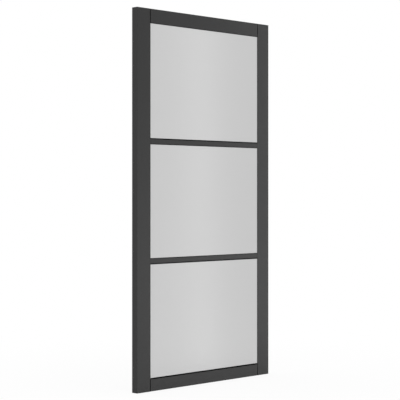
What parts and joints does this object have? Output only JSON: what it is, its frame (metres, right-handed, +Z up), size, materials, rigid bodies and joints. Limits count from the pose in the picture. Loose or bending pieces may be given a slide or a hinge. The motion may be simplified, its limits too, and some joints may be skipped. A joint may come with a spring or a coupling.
{
  "type": "glazed interior door leaf",
  "caption": "Full-height interior door leaf: slim dark aluminium frame with glazing bars and satin glass panes, clip-in beads at the back.",
  "frame": {"origin": "on the flat face of the edge that takes the hinges, midway through the thickness, at the foot of the leaf", "axes": "+Z up the leaf, +X across it from the hinge edge to the lock edge, +Y through it from the front to the back"},
  "size_m": [1.025, 0.04, 2.015],
  "materials": {
    "frame_coating": "satin powder coating, charcoal",
    "satin_glass": "satin-etched, translucent",
    "seal_rubber": "matt black",
    "packer_plastic": "matt black",
    "plug_plastic": "fine-grained black",
    "spigot_plastic": "moulded, black"
  },
  "bodies": {
    "root": {"stile_left": "frame_coating", "stile_right": "frame_coating", "rail_top": "frame_coating", "rail_bottom": "frame_coating", "glazing_bar_lower": "frame_coating", "glazing_bar_upper": "frame_coating", "glass_lower": "satin_glass", "front_tape_lower": "seal_rubber", "back_gasket_lower": "seal_rubber", "setting_blocks_lower": "packer_plastic", "bead_lower_bottom": "frame_coating", "bead_lower_top": "frame_coating", "bead_lower_left": "frame_coating", "bead_lower_right": "frame_coating", "glass_middle": "satin_glass", "front_tape_middle": "seal_rubber", "back_gasket_middle": "seal_rubber", "setting_blocks_middle": "packer_plastic", "bead_middle_bottom": "frame_coating", "bead_middle_top": "frame_coating", "bead_middle_left": "frame_coating", "bead_middle_right": "frame_coating", "glass_upper": "satin_glass", "front_tape_upper": "seal_rubber", "back_gasket_upper": "seal_rubber", "setting_blocks_upper": "packer_plastic", "bead_upper_bottom": "frame_coating", "bead_upper_top": "frame_coating", "bead_upper_left": "frame_coating", "bead_upper_right": "frame_coating", "end_plug_top_left": "plug_plastic", "spigot_top_left": "spigot_plastic", "end_plug_top_right": "plug_plastic", "spigot_top_right": "spigot_plastic", "end_plug_bottom_left": "plug_plastic", "spigot_bottom_left": "spigot_plastic", "end_plug_bottom_right": "plug_plastic", "spigot_bottom_right": "spigot_plastic"}
  },
  "joints": []
}
